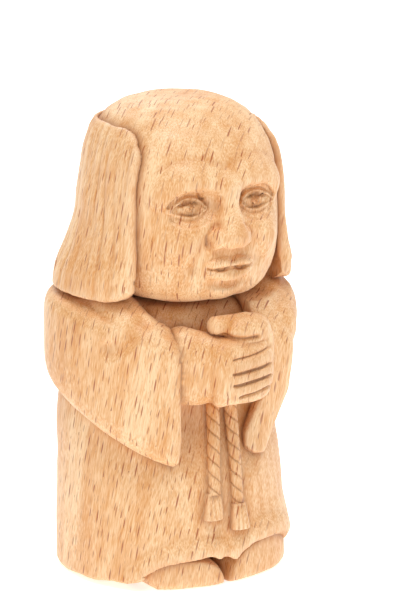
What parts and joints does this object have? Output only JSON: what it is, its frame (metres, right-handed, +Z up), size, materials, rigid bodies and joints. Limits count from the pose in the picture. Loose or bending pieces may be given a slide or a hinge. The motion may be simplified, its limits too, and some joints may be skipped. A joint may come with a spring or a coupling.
{
  "type": "carved monk figurine",
  "caption": "Standing monk figurine carved in beech, with a bald crown, long side hair, wide sleeves, clasped hands, girdle cords with tassels and shoe tips under the hem.",
  "frame": {"origin": "on the floor, under the middle of the skirt", "axes": "+Z up towards the crown, -Y the way the figure faces, -X towards its right hand"},
  "size_m": [0.0624, 0.0566, 0.118],
  "materials": {
    "beech_robe": "knife-cut beech, thin oil, satin",
    "beech_head": "knife-cut beech, thin oil, satin",
    "beech_hair": "gouged beech, thin oil, satin",
    "beech_sleeve": "knife-cut beech, thin oil, satin",
    "beech_hand": "knife-cut beech, thin oil, satin",
    "beech_cord": "knife-cut beech, thin oil, satin",
    "beech_foot": "knife-cut beech, thin oil, satin"
  },
  "bodies": {
    "root": {"robe": "beech_robe", "head": "beech_head", "hair_right": "beech_hair", "hair_left": "beech_hair", "sleeve_right": "beech_sleeve", "sleeve_left": "beech_sleeve", "hand_right": "beech_hand", "hand_left": "beech_hand", "cord_right": "beech_cord", "cord_left": "beech_cord", "tassel_right": "beech_cord", "tassel_left": "beech_cord", "foot_right": "beech_foot", "foot_left": "beech_foot"}
  },
  "joints": []
}
